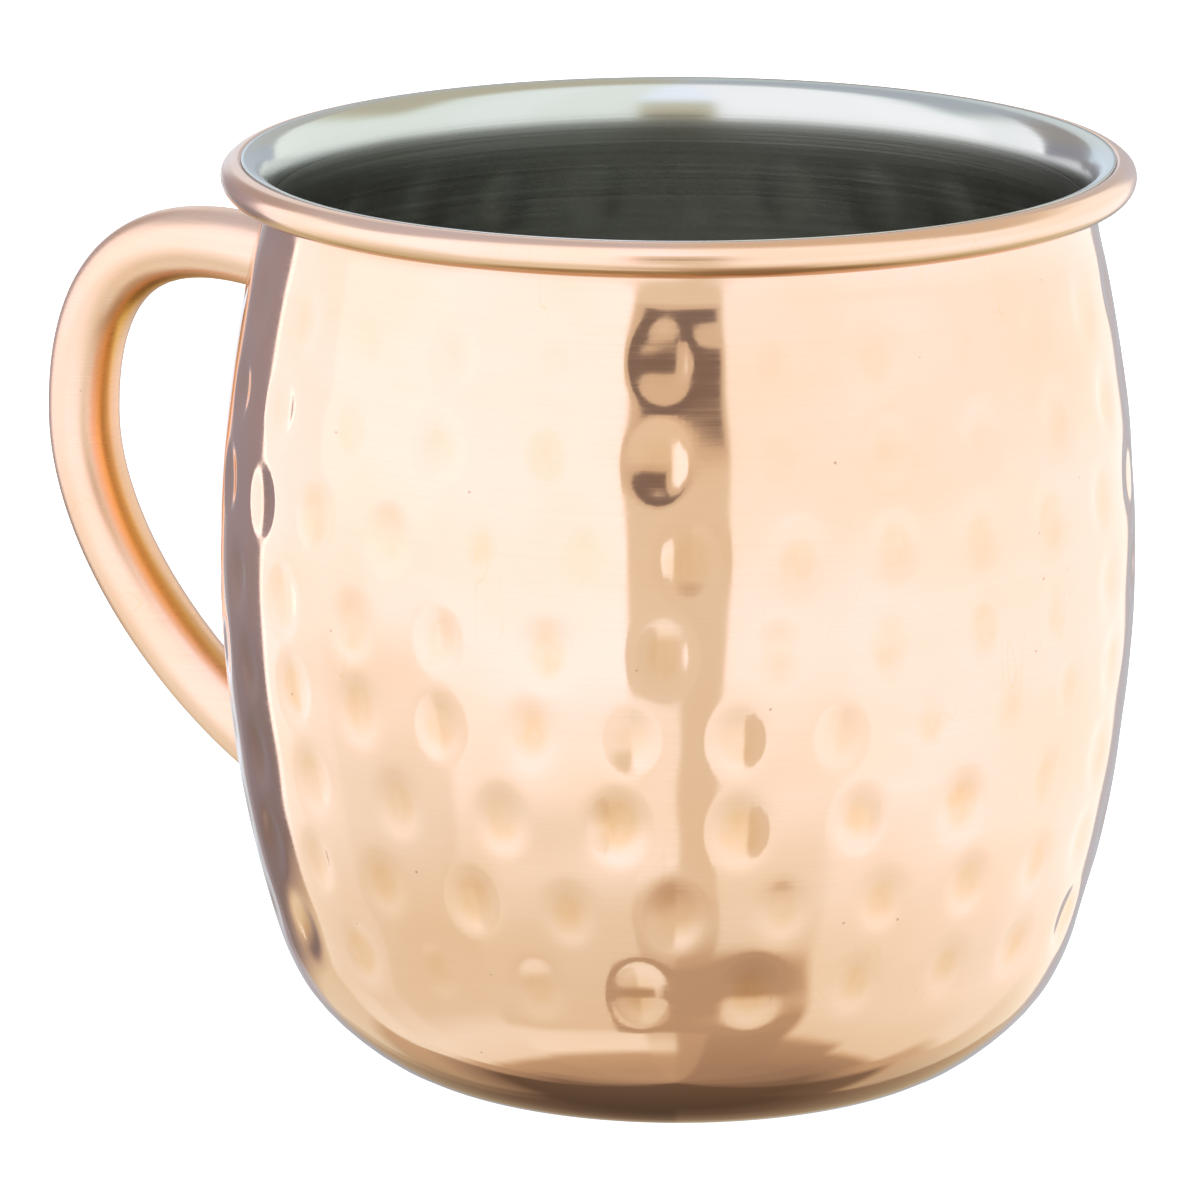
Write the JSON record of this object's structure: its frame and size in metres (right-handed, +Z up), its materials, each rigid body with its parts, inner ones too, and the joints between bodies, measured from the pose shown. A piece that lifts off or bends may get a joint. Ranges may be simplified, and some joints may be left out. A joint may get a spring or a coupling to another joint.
{
  "type": "copper mug",
  "caption": "Barrel-shaped hammered copper drinking mug with a rolled rim, a steel liner and a bent-tube side handle.",
  "frame": {"origin": "on the mug's axis, at the underside of its flat base", "axes": "+Z up along the mug's axis towards the rim; the handle stands out towards -X, and the XZ plane is its middle plane"},
  "size_m": [0.1231, 0.09, 0.0901],
  "materials": {
    "hammered_copper": "polished copper, hand-hammered, clear-lacquered, with fine turning marks",
    "satin_steel": "satin stainless steel, brushed round the axis",
    "handle_copper": "polished copper tube, slightly softer shine than the shell",
    "brazing_metal": "polished-over brazing metal, copper coloured"
  },
  "bodies": {
    "root": {"copper_shell": "hammered_copper", "steel_liner": "satin_steel", "handle_tube": "handle_copper", "upper_braze_seam": "brazing_metal", "lower_braze_seam": "brazing_metal"}
  },
  "joints": []
}
